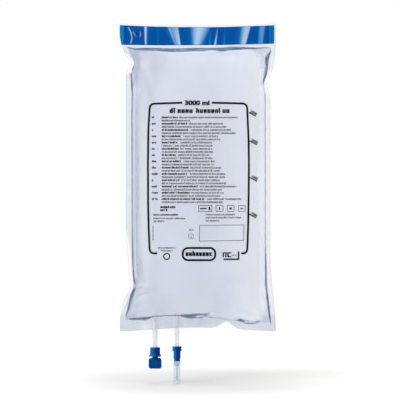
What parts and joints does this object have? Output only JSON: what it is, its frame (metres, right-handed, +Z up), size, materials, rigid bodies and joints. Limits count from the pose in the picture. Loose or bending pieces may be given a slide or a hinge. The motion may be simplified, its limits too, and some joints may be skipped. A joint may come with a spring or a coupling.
{
  "type": "iv fluid bag",
  "caption": "Clear film infusion fluid bag hung by a blue strap, with a twist-off spike port and a capped connector on two port tubes.",
  "frame": {"origin": "centre of the hanger strap, in the plane where the two film sheets are welded together", "axes": "+Z up along the hanging bag, +X to the right seen from the printed side, printed side towards -Y"},
  "size_m": [0.2206, 0.0754, 0.5075],
  "materials": {
    "clear_film": "glossy clear film, slightly milky at the hems",
    "clear_solution": "clear liquid",
    "blue_strap": "glossy blue film",
    "port_tube": "soft translucent tube",
    "blue_plastic": "moulded blue plastic, satin",
    "clear_plastic": "clear moulded plastic"
  },
  "bodies": {
    "bag": {"front_film": "clear_film", "rear_film": "clear_film", "solution": "clear_solution", "hanger_strap": "blue_strap", "spike_port_tube": "port_tube", "connector_tube": "port_tube", "twist_off_closure": "blue_plastic", "connector_body": "blue_plastic", "connector_spike": "clear_plastic"},
    "cap": {"protective_cap": "clear_plastic"}
  },
  "joints": [
    {"name": "cap_pull", "type": "slide", "parent": "bag", "child": "cap", "axis": [0, 0, -1], "range_m": [0, 0.03]}
  ]
}
